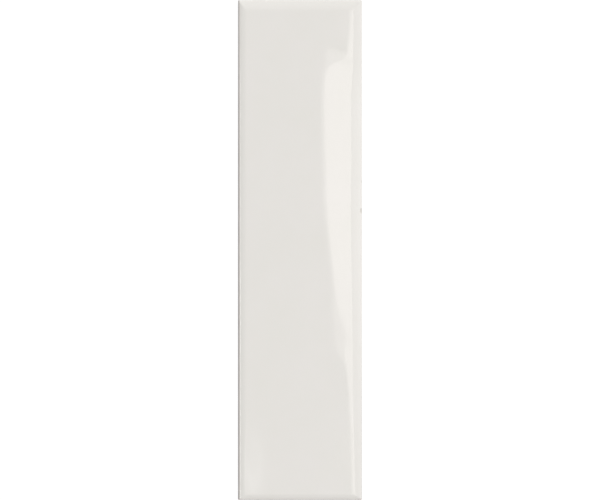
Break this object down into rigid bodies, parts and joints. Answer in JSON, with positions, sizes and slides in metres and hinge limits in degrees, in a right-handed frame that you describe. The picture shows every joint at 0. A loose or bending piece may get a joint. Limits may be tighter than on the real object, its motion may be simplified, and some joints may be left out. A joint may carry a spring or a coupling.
{
  "type": "wall tile",
  "caption": "Oblong glazed ceramic wall tile with a gently waved face, rolled edges, upright sides and a pressed waffle back.",
  "frame": {"origin": "middle of the back, on the flat plane that the ribs and border of the back share", "axes": "+Z out of the back towards the glazed face, +Y along the tile towards the head end, +X across it"},
  "size_m": [0.0744, 0.3, 0.0085],
  "materials": {
    "glazed_clay": "gloss"
  },
  "bodies": {
    "root": {"tile": "glazed_clay"}
  },
  "joints": []
}
